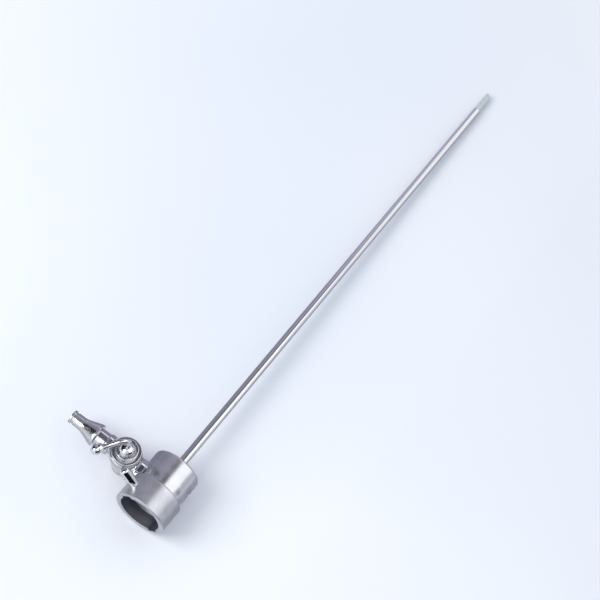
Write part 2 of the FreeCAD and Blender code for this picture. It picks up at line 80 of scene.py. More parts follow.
def rounded(corners):
    """Corners are (place, radius) or (place, radius, setback); a setback makes a curve."""
    points = []
    for index, corner in enumerate(corners):
        here = Vector(corner[:2])
        if len(corner) == 2:
            points.append(here)
            continue
        before = Vector(corners[index - 1][:2]) - here
        after = Vector(corners[(index + 1) % len(corners)][:2]) - here
        for step in range(CURVE_STEPS + 1):
            share = step / CURVE_STEPS
            bend = before.normalized() * (1 - share) ** 2 + after.normalized() * share ** 2
            points.append(here + bend * corner[2])
    return points


print("a square corner becomes", len(rounded([(0, 1), (0, 2, 0.1), (1, 2)])) - 2, "points")

# %% Put a mesh into the scene
def linked(name, data):
    """Make an object from its data and put it into the scene."""
    thing = bpy.data.objects.new(name, data)
    bpy.context.scene.collection.objects.link(thing)
    return thing


def as_piece(name, mesh):
    """Turn a finished bmesh into an object, with every face looking outwards."""
    bmesh.ops.recalc_face_normals(mesh, faces=mesh.faces)
    data = bpy.data.meshes.new(name)
    mesh.to_mesh(data)
    mesh.free()
    return linked(name, data)


# %% Spin a profile into a mesh
SEGMENTS = 128
POLE_RADIUS = 1e-3


def on_axis(axis, place, across, up):
    """A point at a place along the axis, and across and up from it."""
    if axis == "x":
        return Vector((place, across, up))
    if axis == "y":
        return Vector((up, place, across))
    return Vector((across, up, place))


def join_rings(mesh, first, second):
    """Fill the band between two rings; a ring of one vertex is a pole."""
    count = max(len(first), len(second))
    for index in range(count):
        after = (index + 1) % count
        loop = [first[index % len(first)], first[after % len(first)]]
        loop += [second[after % len(second)], second[index % len(second)]]
        corners = [v for place, v in enumerate(loop) if v not in loop[:place]]
        if len(corners) > 2:
            mesh.faces.new(corners)


def turned(name, axis, corners, at=(0, 0, 0), tilt=0.0, shape=None, segments=SEGMENTS):
    """Spin a profile about an axis. shape may move a point by its place, radius and angle."""
    mesh = bmesh.new()
    rings = []
    for place, radius in rounded(corners):
        ring = []
        for step in range(segments if radius > POLE_RADIUS else 1):
            angle = 2 * math.pi * step / segments
            here, out = shape(place, radius, angle) if shape else (place, radius)
            point = on_axis(axis, here, out * math.cos(angle), out * math.sin(angle))
            ring.append(mesh.verts.new(point))
        rings.append(ring)
    for first, second in zip(rings, rings[1:]):
        join_rings(mesh, first, second)
    if len(rings[0]) > 1 or len(rings[-1]) > 1:
        join_rings(mesh, rings[-1], rings[0])
    move = Matrix.Translation(at) @ Matrix.Rotation(math.radians(tilt), 4, "X")
    bmesh.ops.transform(mesh, matrix=Matrix.Scale(MM, 4) @ move, verts=mesh.verts)
    return as_piece(name, mesh)


print("lathe ready,", SEGMENTS, "steps round")

# %% [markdown]
# Holes, slots and welded arms come next. A Boolean modifier cuts one closed mesh out of another,
# or welds it on, exactly as a mill or a brazing torch would. Its result is kept as the piece's own
# mesh, so nothing depends on the cutter afterwards. A Bevel modifier with an angle limit then
# breaks only the new sharp edges and leaves the turned curves alone.

# %% Cut, weld and finish a piece
SHARP_ANGLE = math.radians(32)
BEVEL_ANGLE = math.radians(50)


def carve(piece, tool, operation="DIFFERENCE"):
    """Cut the tool out of the piece, or weld it on, and keep the result."""
    cut = piece.modifiers.new("Carve", "BOOLEAN")
    cut.operation = operation
    cut.object = tool
    cut.solver = "EXACT"
    changed = piece.evaluated_get(bpy.context.evaluated_depsgraph_get())
    result = bpy.data.meshes.new_from_object(changed)
    piece.modifiers.clear()
    piece.data = result
    bpy.data.objects.remove(tool)


def dress(piece, finish, slot, body, *stands_for, edge=0.0):
    """Give a piece its finish and shading, and put it on the body that carries it."""
    piece.data.materials.clear()
    piece.data.materials.append(finish)
    if edge:
        bevel = piece.modifiers.new("Broken edges", "BEVEL")
        bevel.width = edge * MM
        bevel.segments = 3
        bevel.angle_limit = BEVEL_ANGLE
        bevel.use_clamp_overlap = False
    piece.data.shade_smooth()
    piece.data.set_sharp_from_angle(angle=SHARP_ANGLE)
    even = piece.modifiers.new("Even normals", "WEIGHTED_NORMAL")
    even.keep_sharp = True
    if stands_for:
        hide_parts(*stands_for)
    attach(piece, body)
    print(piece.name, "has", len(piece.data.polygons), "faces, rides on", body)


def coat_node(name, finish):
    """A solid whose own shape is right only gets its finish."""
    node = nodes[name]
    node.data.materials.clear()
    node.data.materials.append(finish)
    print(name, "keeps its solid, finish", finish.name)


print("edges over", round(math.degrees(SHARP_ANGLE)), "degrees stay crisp")

# %% [markdown]
# ## Colours and shader nodes
# Colours are picked as they look on a screen, in sRGB hex, but light adds up only in linear
# numbers, so one function turns the first into the second. A second one adds a shader node with
# its settings and its links in one line, which keeps each finish short enough to read.

# %% Turn a hex colour to linear light
def colour(code):
    """Turn an sRGB hex code such as C8C8CC into linear red, green, blue and alpha."""
    parts = [int(code[place:place + 2], 16) / 255 for place in (0, 2, 4)]
    linear = [c / 12.92 if c <= 0.04045 else ((c + 0.055) / 1.055) ** 2.4 for c in parts]
    return (*linear, 1.0)


print("mid grey 808080 is", round(colour("808080")[0], 3), "in linear light")

# %% Add a node with its settings and links
def add(tree, kind, sockets=None, **settings):
    """Add a node, set its settings, and set or link its input sockets."""
    node = tree.nodes.new(kind)
    for name, value in settings.items():
        setattr(node, name, value)
    for name, value in (sockets or {}).items():
        if isinstance(value, bpy.types.NodeSocket):
            tree.links.new(value, node.inputs[name])
        else:
            node.inputs[name].default_value = value
    return node


def start_finish(name, metallic, roughness, base):
    """Start a finish, and hand back its material, tree, shader and place socket."""
    finish = bpy.data.materials.new(name)
    finish.use_nodes = True
    tree = finish.node_tree
    shader = tree.nodes["Principled BSDF"]
    shader.inputs["Metallic"].default_value = metallic
    shader.inputs["Roughness"].default_value = roughness
    shader.inputs["Base Color"].default_value = colour(base)
    place = add(tree, "ShaderNodeTexCoord").outputs["Object"]
    return finish, tree, shader, place


print("finishes are built on the Principled shader")

# %% [markdown]
# Most of these finishes are lines: a lathe leaves rings, a belt leaves streaks, a drawing die
# leaves hair lines along a tube. A noise texture that is squeezed hard along one axis gives such
# lines. Its scale comes from real sizes, how wide a line is and how long, both in millimetres.

# %% Lines left by a tool
def tool_lines(tree, place, across_mm, detail=2.0):
    """Noise whose grains measure across_mm along X, Y and Z."""
    scale = [1000.0 / size for size in across_mm]
    spread = add(tree, "ShaderNodeMapping", {"Vector": place, "Scale": scale})
    sockets = {"Vector": spread.outputs["Vector"], "Scale": 1.0, "Detail": detail}
    return add(tree, "ShaderNodeTexNoise", sockets).outputs["Fac"]


def ranged(tree, value, start, end, low, high):
    """Map a value from one range to another, held at the ends."""
    sockets = {"Value": value, "From Min": start, "From Max": end, "To Min": low, "To Max": high}
    return add(tree, "ShaderNodeMapRange", sockets).outputs["Result"]


def blended(tree, share, first, second):
    """Mix two colours given as hex codes or sockets."""
    mix = add(tree, "ShaderNodeMix", {"Factor": share}, data_type="RGBA")
    for socket, part in ((mix.inputs[6], first), (mix.inputs[7], second)):
        if isinstance(part, str):
            socket.default_value = colour(part)
        else:
            tree.links.new(part, socket)
    return mix.outputs[2]


def roughen(tree, shader, pattern, low, high, start=0.3, end=0.7):
    """Let a pattern vary the roughness between two values."""
    tree.links.new(ranged(tree, pattern, start, end, low, high), shader.inputs["Roughness"])


def tint(tree, shader, pattern, first, second, start=0.3, end=0.7):
    """Let a pattern vary the base colour between two tones."""
    toned = blended(tree, ranged(tree, pattern, start, end, 0.0, 1.0), first, second)
    tree.links.new(toned, shader.inputs["Base Color"])


def relief(tree, shader, height, depth_mm, strength):
    """Feed a height pattern to the shader's normal."""
    sockets = {"Height": height, "Distance": depth_mm * MM, "Strength": strength}
    bump = add(tree, "ShaderNodeBump", sockets)
    tree.links.new(bump.outputs["Normal"], shader.inputs["Normal"])


print("a 0.5 mm line is a noise scale of", 1000 / 0.5)

# %% [markdown]
# ## Brushed stainless steel, on the rear collar
# The collar is 300-series stainless steel that was turned, brushed round with a fine belt and
# then handled for years. Steel has no colour of its own beyond a slightly cool grey, and its edge
# tint stays the same, so the default index of refraction is kept. Brushing makes the highlight
# broad, and loose scratches sparkle in it. Real belt lines are about 0.05 mm wide, which a picture
# of the whole object can't show, so they are drawn six times as coarse.

# %% Finish: brushed stainless steel
BELT_LINE_MM = 0.3
SCRATCH_MM = 0.22


brushed_steel, tree, shader, place = start_finish("Brushed stainless steel", 1.0, 0.4, "BFC0C6")
belt = tool_lines(tree, place, (BELT_LINE_MM, 7.0, 7.0), 3.0)
cloud = tool_lines(tree, place, (6.0, 6.0, 6.0))
slant = add(tree, "ShaderNodeMapping", {"Vector": place, "Rotation": (0.5, 0.3, 0.9)})
scratch = tool_lines(tree, slant.outputs["Vector"], (SCRATCH_MM, 3.5, 2.2), 1.0)
marks = ranged(tree, scratch, 0.64, 0.72, 0.0, 0.7)
worn = add(tree, "ShaderNodeMath", {0: belt, 1: marks}, operation="ADD").outputs[0]
roughen(tree, shader, worn, 0.35, 0.5, 0.3, 1.3)
toned = blended(tree, ranged(tree, cloud, 0.35, 0.65, 0.0, 1.0), "B0B1B8", "C0C1C8")
tree.links.new(blended(tree, marks, toned, "CDCED3"), shader.inputs["Base Color"])
relief(tree, shader, worn, 0.01, 0.3)
print(brushed_steel.name, "with belt lines of", BELT_LINE_MM, "mm")

# %% [markdown]
# ## Satin stainless steel, on the hub's front and the ferrule
# The front section is the same steel blasted with fine glass beads. That leaves no direction at
# all, only a soft sheen that spreads a lamp into a wide pale band. The bead marks are about 0.1 mm
# and are drawn at 0.4 mm, so that the sheen looks grainy and not airbrushed.

# %% Finish: satin stainless steel
BEAD_MM = 0.4


satin_steel, tree, shader, place = start_finish("Bead blasted stainless steel", 1.0, 0.26, "C6C7CC")
beads = tool_lines(tree, place, (BEAD_MM, BEAD_MM, BEAD_MM), 4.0)
cloud = tool_lines(tree, place, (5.0, 8.0, 8.0))
roughen(tree, shader, cloud, 0.23, 0.31)
tint(tree, shader, cloud, "BDBEC5", "CCCDD1")
relief(tree, shader, beads, 0.006, 0.25)
print(satin_steel.name, "with bead marks of", BEAD_MM, "mm")

# %% [markdown]
# ## Turned bore, darkened as painted shade
# Inside the hub nothing was brushed or polished after turning. The tool left fine rings about
# 0.1 mm apart, and cleaning has dulled them, so the wall is rougher than the outside. Its base
# colour is also painted darker than the outside steel, as shade inside the bore.
# The rings are drawn at 0.35 mm.

# %% Finish: dull turned steel, darker as painted shade
TOOL_RING_MM = 0.35


# The dark base colour and its tints paint the shade inside the bore; the rings and roughness are the
# real turned finish.
bore_steel_painted_shade, tree, shader, place = start_finish("Dull turned steel, painted darker as shade", 1.0, 0.34, "A2A3AE")
rings = tool_lines(tree, place, (TOOL_RING_MM, 40.0, 40.0))
roughen(tree, shader, rings, 0.40, 0.50)
tint(tree, shader, rings, "80828E", "9A9CA8", 0.35, 0.65)
relief(tree, shader, rings, 0.02, 0.3)
print(bore_steel_painted_shade.name, "with tool rings of", TOOL_RING_MM, "mm")

# %% [markdown]
# ## Drawn tube
# The sheath is seamless stainless tube, pulled through a die and then buffed. It is nearly a
# mirror, with hair lines that run along it. They hardly show, but they soften a reflection across
# the tube a little more than along it.

# %% Finish: drawn stainless tube
HAIR_LINE_MM = 0.3


tube_steel, tree, shader, place = start_finish("Drawn stainless tube", 1.0, 0.1, "CDCED2")
hairs = tool_lines(tree, place, (60.0, HAIR_LINE_MM, HAIR_LINE_MM))
roughen(tree, shader, hairs, 0.07, 0.15)
tint(tree, shader, hairs, "C6C7CC", "D3D4D8", 0.35, 0.65)
relief(tree, shader, hairs, 0.002, 0.2)
print(tube_steel.name, "with hair lines of", HAIR_LINE_MM, "mm")

# %% [markdown]
# ## Soft polish and mirror polish
# The stopcock's body was buffed after brazing, which leaves soft waves and a slightly hazy
# reflection. The pin, the plug's head and the lever were polished on a wheel to a mirror, with
# only wipe marks from cleaning. Both are one recipe with other numbers: waves, haze and wipes.

# %% Finish: polished stainless steel
WAVE_MM = 2.4
WIPE_MM = 0.8


def polished_stainless(name, base, haze, wave_depth_mm):
    """Soft waves from the wheel and wipe marks in the haze."""
    finish, tree, shader, place = start_finish(name, 1.0, haze, base)
    waves = tool_lines(tree, place, (WAVE_MM, WAVE_MM, WAVE_MM), 1.0)
    wipes = tool_lines(tree, place, (WIPE_MM, WIPE_MM * 6, WIPE_MM * 2), 3.0)
    roughen(tree, shader, wipes, haze * 0.7, haze * 1.8, 0.4, 0.7)
    relief(tree, shader, waves, wave_depth_mm, 0.5)
    return finish


body_steel = polished_stainless("Buffed stainless steel", "C4C5CA", 0.15, 0.03)
mirror_steel = polished_stainless("Mirror polished stainless steel", "D2D3D6", 0.05, 0.012)
print(body_steel.name, "and", mirror_steel.name)

# %% [markdown]
# ## Ceramic beak and plastic seals
# The beak insulates the loop electrode from the tube, so it is a sintered zirconia ceramic, pale
# grey and ground smooth. Its index of refraction is about 2.1, which gives a stronger sheen than
# plastic. The washer and the seal are PTFE, milky white and waxy, with an index of 1.35.

# %% Finish: zirconia
GRIND_LINE_MM = 0.25
ZIRCONIA_INDEX = 2.1

zirconia, tree, shader, place = start_finish("Ground zirconia ceramic", 0.0, 0.4, "B9BFC4")
shader.inputs["IOR"].default_value = ZIRCONIA_INDEX
grind = tool_lines(tree, place, (GRIND_LINE_MM, 3.0, 3.0))
roughen(tree, shader, grind, 0.32, 0.46)
tint(tree, shader, grind, "B2B9BE", "C3C9CD")
relief(tree, shader, grind, 0.004, 0.2)
print(zirconia.name, "with grinding lines of", GRIND_LINE_MM, "mm")

# %% Finish: PTFE
PTFE_INDEX = 1.35

ptfe, tree, shader, place = start_finish("Machined PTFE", 0.0, 0.45, "E4E4E0")
shader.inputs["IOR"].default_value = PTFE_INDEX
tint(tree, shader, tool_lines(tree, place, (1.0, 1.0, 0.15)), "DCDCD8", "EAEAE7")
print(ptfe.name, "with an index of", PTFE_INDEX)

# %% [markdown]
# ## The rear collar
# The collar is the mouth of the instrument. A working element goes in here: two lugs enter the
# bayonet slots on opposite sides and turn into a ring groove. The wall of the mouth shows a few
# fine rings, which are real grooves in the profile, and the rim's face is flat with broken edges.
# The slots are cut with two boxes afterwards, because a lathe can't leave them.

# %% Collar profile
RIM_EDGE = 0.4
MOUTH_EDGE = 0.22
FRONT_EDGE = 0.85
LOCK_GROOVE_RADIUS = 9.8
SLOT_LENGTH = 6.0
LOCK_GROOVE_WIDTH = 1.8
LOCK_GROOVE_IN_VIEW = 0.22
SPIGOT_LENGTH = 3.2
SPIGOT_STEP = 0.3
FIT_GAP = 0.01
RING_COUNT = 3
RING_PITCH = 0.75
RING_DEPTH = 0.15
RING_SLOPE = 0.14
RINGS_START = 6.3

spigot_end = COLLAR_LENGTH - SPIGOT_LENGTH
lock_groove_start = SLOT_LENGTH - LOCK_GROOVE_WIDTH
collar_profile = [
    (0, MOUTH_RADIUS, MOUTH_EDGE),
    (0, COLLAR_RADIUS, RIM_EDGE),
    (COLLAR_LENGTH, COLLAR_RADIUS, FRONT_EDGE),
    (COLLAR_LENGTH, HUB_RADIUS - SPIGOT_STEP),
    (spigot_end, HUB_RADIUS - SPIGOT_STEP),
    (spigot_end, MOUTH_RADIUS),
    (SLOT_LENGTH, MOUTH_RADIUS, 0.1),
    (SLOT_LENGTH, MOUTH_RADIUS + LOCK_GROOVE_IN_VIEW, 0.1),
    (lock_groove_start, MOUTH_RADIUS + LOCK_GROOVE_IN_VIEW, 0.1),
    (lock_groove_start, MOUTH_RADIUS, 0.1),
]
fine_rings = []
for ring in reversed(range(RING_COUNT)):
    middle = RINGS_START + ring * RING_PITCH
    fine_rings += [
        (middle + RING_SLOPE, MOUTH_RADIUS),
        (middle, MOUTH_RADIUS + RING_DEPTH),
        (middle - RING_SLOPE, MOUTH_RADIUS),
    ]
# The fine rings lie between the spigot's shoulder and the ring groove.
shoulder = collar_profile.index((spigot_end, MOUTH_RADIUS)) + 1
collar_profile[shoulder:shoulder] = fine_rings
print(len(collar_profile), "corners, with", RING_COUNT, "fine rings in the mouth")

# %% Turn the collar and cut its slots
SLOT_WIDTH = 4.8
SLOT_TURN = 38.0


def box_tool(name, low, high):
    """A closed box between two corners, in mm, to cut with."""
    mesh = bmesh.new()
    bmesh.ops.create_cube(mesh, size=1.0)
    size = Vector(high) - Vector(low)
    middle = (Vector(high) + Vector(low)) / 2
    bmesh.ops.scale(mesh, vec=size * MM, verts=mesh.verts)
    bmesh.ops.translate(mesh, vec=middle * MM, verts=mesh.verts)
    return as_piece(name, mesh)


collar = turned("bayonet_collar_turned", "x", collar_profile)
low_corner = (-1, MOUTH_RADIUS - 1, -SLOT_WIDTH / 2)
high_corner = (SLOT_LENGTH, LOCK_GROOVE_RADIUS, SLOT_WIDTH / 2)
for degrees in (SLOT_TURN, SLOT_TURN + 180):
    tool = box_tool("slot_tool", low_corner, high_corner)
    tool.data.transform(Matrix.Rotation(math.radians(degrees), 4, "X"))
    carve(collar, tool)
dress(collar, brushed_steel, "brushed_hub_steel", "sheath", "bayonet_collar")

# %% [markdown]
# The wall inside the mouth isn't brushed, and its darker finish is painted shade. One object can
# carry two finishes, so the collar gets a second material slot, and each face that looks towards the
# axis from the bore takes it. Sloping edges that look out of the mouth keep the outer finish.

# %% Give the bore its own darker finish, as painted shade
RIM_FACE_MM = 0.1
SQUARE_ON = 0.9
SLOPING = 0.3


def finish_inside(piece, finish, limit_mm):
    """Give the faces nearer the sheath's axis than the limit a second, darker finish: painted shade.
    """
    piece.data.materials.append(finish)
    count = 0
    for face in piece.data.polygons:
        middle = face.center
        towards_mouth = -face.normal.x
        radius = math.hypot(middle.y, middle.z) / MM
        near = radius < limit_mm and middle.x > RIM_FACE_MM * MM
        inward = face.normal.y * middle.y + face.normal.z * middle.z < -1e-9
        # Sloping faces that look out of the mouth are left out of the painted shade.
        looks_out_of_mouth = SLOPING < towards_mouth < SQUARE_ON
        if near and not looks_out_of_mouth and (inward or abs(face.normal.x) > SQUARE_ON):
            face.material_index = 1
            count += 1
    print(piece.name, "has", count, "faces in the bore's finish")


# The wall of the mouth gets the darker finish, painted shade.
finish_inside(collar, bore_steel_painted_shade, LOCK_GROOVE_RADIUS + 0.1)

# %% [markdown]
# ## The hub's front section
# This section is a shade smaller than the collar. Past the seam it starts with a shallow waist
# that swells softly to the full width, and its front edge has a generous radius. A small screw
# sits in a countersunk seat in the side, so a turned cutter with the same taper cuts the seat.

# %% Hub front
WAIST_LENGTH = 3.9
WAIST_DEPTH = 0.4
HUB_FRONT_WALL = 3.0
FERRULE_RADIUS = 3.2
SEAT_LENGTH = 4.7
SEAT_RADIUS = 8.1
SCREW_PLACE = 18.0
SCREW_TURN = 168.0
SCREW_RADIUS = 1.6
SCREW_GAP = 0.05
SCREW_RECESS = 0.35

seat_end = HUB_LENGTH - HUB_FRONT_WALL
hub = turned("hub_body_turned", "x", [
    (spigot_end, HUB_BORE_RADIUS),
    (spigot_end, HUB_RADIUS - SPIGOT_STEP - FIT_GAP),
    (COLLAR_LENGTH - 0.3, HUB_RADIUS - SPIGOT_STEP - FIT_GAP),
    (COLLAR_LENGTH - 0.3, HUB_RADIUS - WAIST_DEPTH),
    (COLLAR_LENGTH + 1.2, HUB_RADIUS - WAIST_DEPTH, 0.8),
    (COLLAR_LENGTH + WAIST_LENGTH, HUB_RADIUS, 1.2),
    (HUB_LENGTH, HUB_RADIUS, 1.1),
    (HUB_LENGTH, FERRULE_RADIUS),
    (seat_end, FERRULE_RADIUS),
    (seat_end, SEAT_RADIUS),
    (seat_end - SEAT_LENGTH, SEAT_RADIUS),
    (seat_end - SEAT_LENGTH, HUB_BORE_RADIUS),
])
seat_floor = HUB_RADIUS - SCREW_RECESS
screw_seat = turned("screw_seat_tool", "y", [
    (seat_floor - 0.5, 0),
    (seat_floor - 0.5, SCREW_RADIUS + SCREW_GAP),
    (HUB_RADIUS - 0.25, SCREW_RADIUS + SCREW_GAP),
    (HUB_RADIUS + 0.5, SCREW_RADIUS + 0.8),
    (HUB_RADIUS + 0.5, 0),
], at=(SCREW_PLACE, 0, 0), tilt=SCREW_TURN, segments=64)
carve(hub, screw_seat)
dress(hub, satin_steel, "satin_hub_steel", "sheath", "hub_body")
# The hub's bore takes the same darker finish, painted shade inside the recess.
finish_inside(hub, bore_steel_painted_shade, HUB_BORE_RADIUS + 0.1)

# %% [markdown]
# The screw is small and bright. Its head is turned with a soft edge, then a thin box cuts the slot
# for the screwdriver.

# %% Screw in the side
SCREW_HEAD = 0.9
DRIVER_WIDTH = 0.4
DRIVER_DEPTH = 0.4

screw = turned("hub_screw_turned", "y", [
    (seat_floor - SCREW_HEAD, 0),
    (seat_floor - SCREW_HEAD, SCREW_RADIUS),
    (seat_floor, SCREW_RADIUS, 0.15),
    (seat_floor, 0),
], segments=64)
low_corner = (-2, seat_floor - DRIVER_DEPTH, -DRIVER_WIDTH / 2)
high_corner = (2, seat_floor + 1, DRIVER_WIDTH / 2)
carve(screw, box_tool("driver_tool", low_corner, high_corner))
screw_turn = Matrix.Rotation(math.radians(SCREW_TURN), 4, "X")
screw.data.transform(Matrix.Translation((SCREW_PLACE * MM, 0, 0)) @ screw_turn)
dress(screw, mirror_steel, "mirror_steel", "sheath", "hub_screw")

# %% [markdown]
# ## Ferrule, tube and beak
# The tube is soldered into a ferrule that ends in a short cone. The tube itself is the longest and
# plainest piece, so its two broken edges matter. The beak is a thin ceramic tube whose end is cut
# at a slant on one side, which protects the tissue from the loop. Its last rings follow that slant.

# %% Ferrule and tube
FERRULE_REACH = 2.2
FERRULE_NOSE_RADIUS = 2.5
ROOT_RADIUS = 2.1
LUMEN_RADIUS = 1.5
BEAK_LENGTH = 12.0
BEAK_RADIUS = 1.68
SOCKET_LENGTH = 2.5
TUBE_ROOT_REACH = 1.6

tube_start = seat_end - TUBE_ROOT_REACH
tube_end = SHEATH_LENGTH - BEAK_LENGTH
ferrule_end = HUB_LENGTH + FERRULE_REACH
ferrule = turned("tube_ferrule_turned", "x", [
    (seat_end, ROOT_RADIUS),
    (seat_end, FERRULE_RADIUS),
    (HUB_LENGTH + FERRULE_REACH / 2, FERRULE_RADIUS, 0.3),
    (ferrule_end, FERRULE_NOSE_RADIUS, 0.15),
    (ferrule_end, ROOT_RADIUS),
])
dress(ferrule, satin_steel, "satin_hub_steel", "sheath", "tube_ferrule")

tube = turned("sheath_tube_drawn", "x", [
    (tube_start, LUMEN_RADIUS),
    (tube_start, ROOT_RADIUS),
    (ferrule_end, ROOT_RADIUS),
    (ferrule_end, TUBE_RADIUS, 0.1),
    (tube_end, TUBE_RADIUS, 0.06),
    (tube_end, BEAK_RADIUS),
    (tube_end - SOCKET_LENGTH, BEAK_RADIUS),
    (tube_end - SOCKET_LENGTH, LUMEN_RADIUS),
])
dress(tube, tube_steel, "drawn_tube_steel", "sheath", "sheath_tube")

# %% Slant beak
BEAK_BORE_RADIUS = 1.3
SLANT_LENGTH = 2.2
NOSE_HEIGHT = 0.7
GLUE_GAP = 0.005
BODY_ROWS_END = SHEATH_LENGTH - 6.0


def slanted(place, radius, angle):
    """Rings past the tube stop at the slant, each as far short of it as it was drawn."""
    if place < BODY_ROWS_END:
        return place, radius
    side = radius * math.cos(angle)
    share = (side + BEAK_RADIUS) / (BEAK_RADIUS + NOSE_HEIGHT)
    cut = SHEATH_LENGTH - SLANT_LENGTH * (1 - min(share, 1.0))
    return cut - (SHEATH_LENGTH - place), radius


beak = turned("insulating_beak_ground", "x", [
    (tube_end - SOCKET_LENGTH, BEAK_BORE_RADIUS),
    (tube_end - SOCKET_LENGTH, BEAK_RADIUS - GLUE_GAP),
    (tube_end - 0.1, BEAK_RADIUS - GLUE_GAP),
    (tube_end + 0.3, BEAK_RADIUS),
    (SHEATH_LENGTH, BEAK_RADIUS, 0.12),
    (SHEATH_LENGTH, BEAK_BORE_RADIUS, 0.12),
], shape=slanted)
dress(beak, zirconia, "beak_ceramic", "sheath", "insulating_beak")
# The cone seat inside the hub takes the darker bore finish, painted shade.
coat_node("cone_seat", bore_steel_painted_shade)

# %% [markdown]
# ## Guide pin
# The pin is brazed into a shallow seat in the collar, so only its plain shank shows. It is turned
# with a crowned top, and it shows how mirror polish works: a dark stripe down the middle, bright
# on both sides.

# %% Guide pin
PIN_PLACE = 5.4
PIN_TURN = 42.0
PIN_RADIUS = 2.1
PIN_HEIGHT = 8.4
PIN_FOOT_RADIUS = 2.6
PIN_CROWN = 0.5
PIN_ROOT = 0.75

pin_top = COLLAR_RADIUS + PIN_HEIGHT
pin = turned("guide_pin_turned", "y", [
    (COLLAR_RADIUS - PIN_ROOT, 0),
    (COLLAR_RADIUS - PIN_ROOT, PIN_FOOT_RADIUS),
    (COLLAR_RADIUS - 0.4, PIN_FOOT_RADIUS),
    (COLLAR_RADIUS - 0.35, PIN_RADIUS),
    (pin_top - PIN_CROWN, PIN_RADIUS, 0.9),
    (pin_top, PIN_RADIUS * 0.4, 0.6),
    (pin_top, 0),
], at=(PIN_PLACE, 0, 0), tilt=PIN_TURN, segments=96)
dress(pin, mirror_steel, "mirror_steel", "sheath", "guide_pin")

# %% [markdown]
# ## Stopcock body
# The body was one casting: a barrel with a flange on top, an arm to the hub and an arm to the
# nozzle. The ring where the hub arm is brazed on sits on a round surface, so its lower edge is a
# saddle. Its rings are told how high they are above the hub's skin, and the skin drops away on both
# sides. The barrel and its two arms are turned apart and welded with Boolean modifiers.

# %% Braze ring with a saddle foot
STEM_RING_RADIUS = 5.4
STEM_RING_SHIFT = 1.3
STEM_RING_HEIGHT = 1.9
ARM_SPIGOT_RADIUS = 2.3


def saddled(height, radius, angle):
    """Height 0 lies on the skin of the hub or collar, and the ring's full height is level."""
    place = STOPCOCK_PLACE - STEM_RING_SHIFT + radius * math.sin(angle)
    under = COLLAR_RADIUS if place < COLLAR_LENGTH else HUB_RADIUS
    skin = math.sqrt(under ** 2 - (radius * math.cos(angle)) ** 2)
    top = HUB_RADIUS + STEM_RING_HEIGHT
    return skin + height * (top - skin) / STEM_RING_HEIGHT, radius


stem_ring = turned("stem_ring_brazed", "y", [
    (-0.4, ARM_SPIGOT_RADIUS),
    (-0.4, STEM_RING_RADIUS + 0.1),
    (0.15, STEM_RING_RADIUS + 0.1, 0.1),
    (0.35, STEM_RING_RADIUS, 0.15),
    (STEM_RING_HEIGHT, STEM_RING_RADIUS, 0.6),
    (STEM_RING_HEIGHT, ARM_SPIGOT_RADIUS),
], at=(STOPCOCK_PLACE - STEM_RING_SHIFT, 0, 0), shape=saddled, segments=96)
dress(stem_ring, mirror_steel, "mirror_steel", "sheath", "stem_ring")

# %% Barrel
BARREL_RADIUS = 6.5
BARREL_TOP = 6.0
BARREL_SHOULDER = 4.2
BARREL_BOTTOM = 7.0
BARREL_FOOT_RADIUS = 4.4
BARREL_CONE_TOP = 2.6
FLANGE_RADIUS = 6.0
PLUG_TOP_RADIUS = 3.3
PLUG_BOTTOM_RADIUS = 2.7

body = turned("stopcock_body_cast", "z", [
    (-BARREL_BOTTOM, PLUG_BOTTOM_RADIUS),
    (-BARREL_BOTTOM, BARREL_FOOT_RADIUS, 0.5),
    (BARREL_CONE_TOP, BARREL_RADIUS, 0.9),
    (BARREL_SHOULDER + 0.3, BARREL_RADIUS, 0.9),
    (BARREL_SHOULDER + 0.5, FLANGE_RADIUS - 0.25, 0.15),
    (BARREL_SHOULDER + 0.5, FLANGE_RADIUS, 0.15),
    (BARREL_TOP, FLANGE_RADIUS, 0.35),
    (BARREL_TOP, PLUG_TOP_RADIUS),
], at=PLUG_AXIS)
print("barrel of", BARREL_TOP + BARREL_BOTTOM, "mm height")

# %% Arms and flow bore
HUB_ARM_RADIUS = 4.2
NOZZLE_ARM_RADIUS = 3.0
NOZZLE_ARM_END = 7.6
ARM_ROOT = 4.2
FLOW_RADIUS = 1.4
BODY_EDGE = 0.25

ring_top = HUB_RADIUS + STEM_RING_HEIGHT - BARREL_DISTANCE
hub_arm = turned("hub_arm_tool", "y", [
    (HUB_BORE_RADIUS - BARREL_DISTANCE, 0),
    (HUB_BORE_RADIUS - BARREL_DISTANCE, ARM_SPIGOT_RADIUS),
    (ring_top, ARM_SPIGOT_RADIUS),
    (ring_top, HUB_ARM_RADIUS),
    (-ARM_ROOT, HUB_ARM_RADIUS),
    (-ARM_ROOT, 0),
], at=PLUG_AXIS, segments=96)
nozzle_arm = turned("nozzle_arm_tool", "y", [
    (ARM_ROOT, 0),
    (ARM_ROOT, NOZZLE_ARM_RADIUS),
    (NOZZLE_ARM_END, NOZZLE_ARM_RADIUS, 0.15),
    (NOZZLE_ARM_END, 0),
], at=PLUG_AXIS, segments=96)
flow = turned("flow_tool", "y", [
    (-BARREL_DISTANCE, 0),
    (-BARREL_DISTANCE, FLOW_RADIUS),
    (NOZZLE_ARM_END + 1, FLOW_RADIUS),
    (NOZZLE_ARM_END + 1, 0),
], at=PLUG_AXIS, segments=64)
carve(body, hub_arm, "UNION")
carve(body, nozzle_arm, "UNION")
carve(body, flow)
dress(body, body_steel, "polished_body_steel", "sheath", "stopcock_body", edge=BODY_EDGE)

# %% [markdown]
# ## Hose nozzle
# A union nut holds the nozzle on the arm. Behind its flare the nozzle narrows in a cone to a tip
# with a low lip, which keeps a soft hose from slipping off. The tip is open and thin walled, and
# that shows, so the profile runs back down the inside.

# %% Union nut
NUT_START = 6.6
NUT_END = 9.0
NUT_RADIUS = 4.2
NUT_LIP = 0.7
NECK_RADIUS = 3.3
FOOT_RADIUS = 3.7

